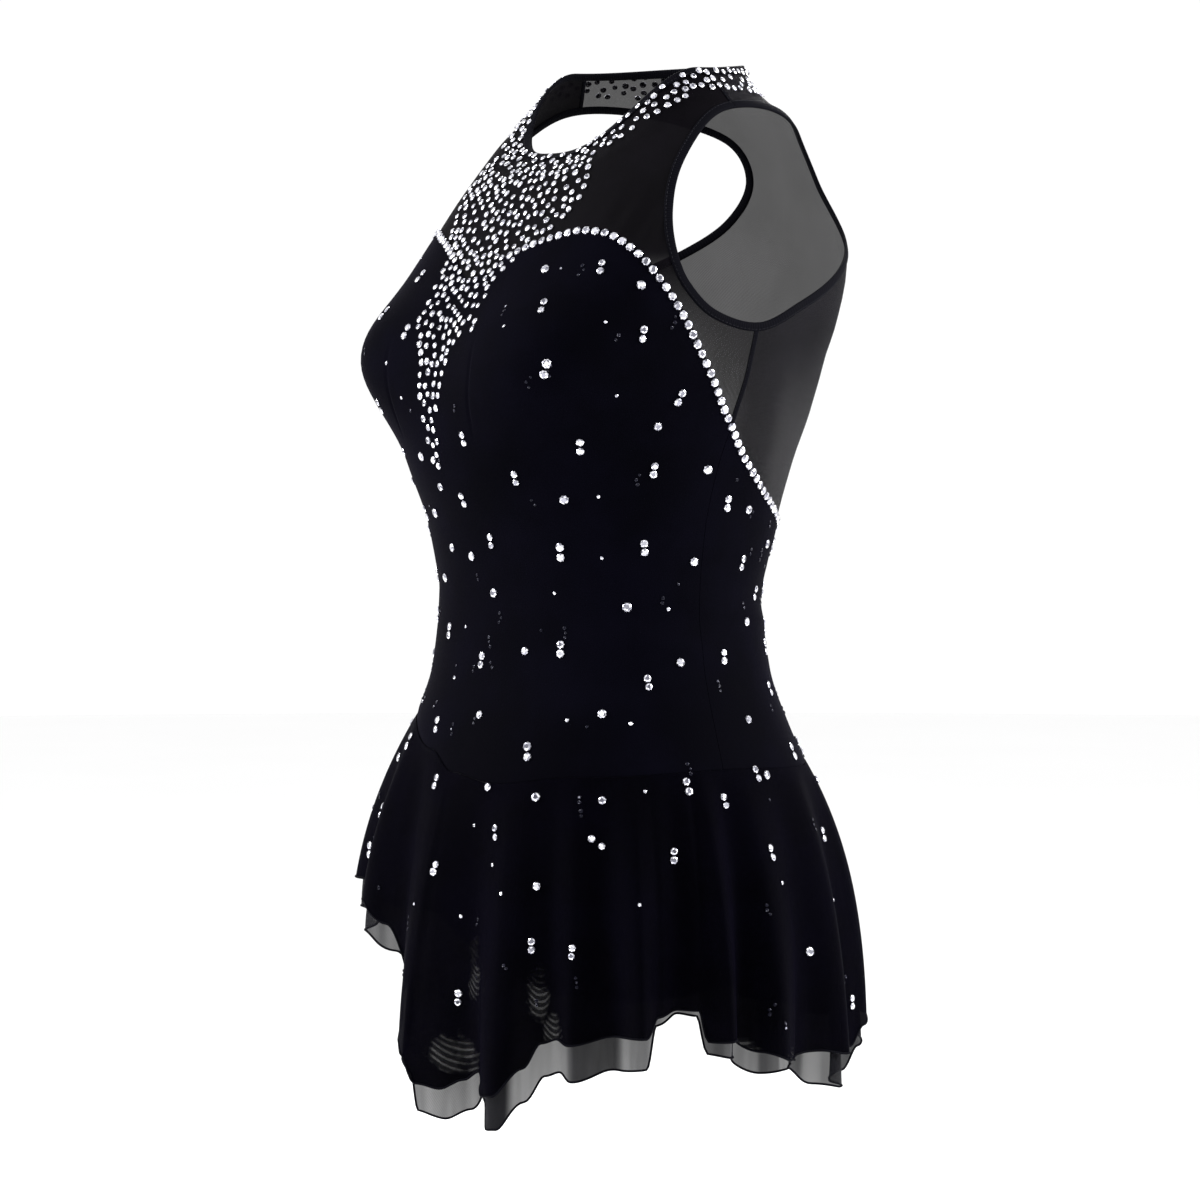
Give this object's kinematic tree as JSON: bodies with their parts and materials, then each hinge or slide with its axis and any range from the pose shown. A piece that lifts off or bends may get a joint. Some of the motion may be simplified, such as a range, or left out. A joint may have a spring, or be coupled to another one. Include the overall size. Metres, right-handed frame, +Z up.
{
  "type": "figure skating dress",
  "caption": "Sleeveless figure skating dress with a sweetheart velvet bodice, sheer mesh yoke and a two-layer flared skirt, held in its worn form with no wearer.",
  "frame": {"origin": "midway between the two shoulder seams, where the dress hangs on its wearer", "axes": "+Z up, -Y towards the front of the dress, +X towards the wearer's left"},
  "size_m": [0.368, 0.3315, 0.6895],
  "materials": {
    "velvet": "short stretch velvet with a pale sheen at its edges",
    "yoke_mesh": "sheer matt stretch mesh",
    "binding": "matt stretch binding",
    "skirt_mesh": "sheer soft mesh",
    "lycra": "smooth stretch jersey"
  },
  "bodies": {
    "root": {"bodice_front": "velvet", "bodice_back": "velvet", "yoke_front": "yoke_mesh", "yoke_back": "yoke_mesh", "neck_binding": "binding", "armhole_binding_left": "binding", "armhole_binding_right": "binding", "skirt_upper": "skirt_mesh", "skirt_lower": "skirt_mesh", "briefs_front": "lycra", "briefs_back": "lycra"}
  },
  "joints": []
}
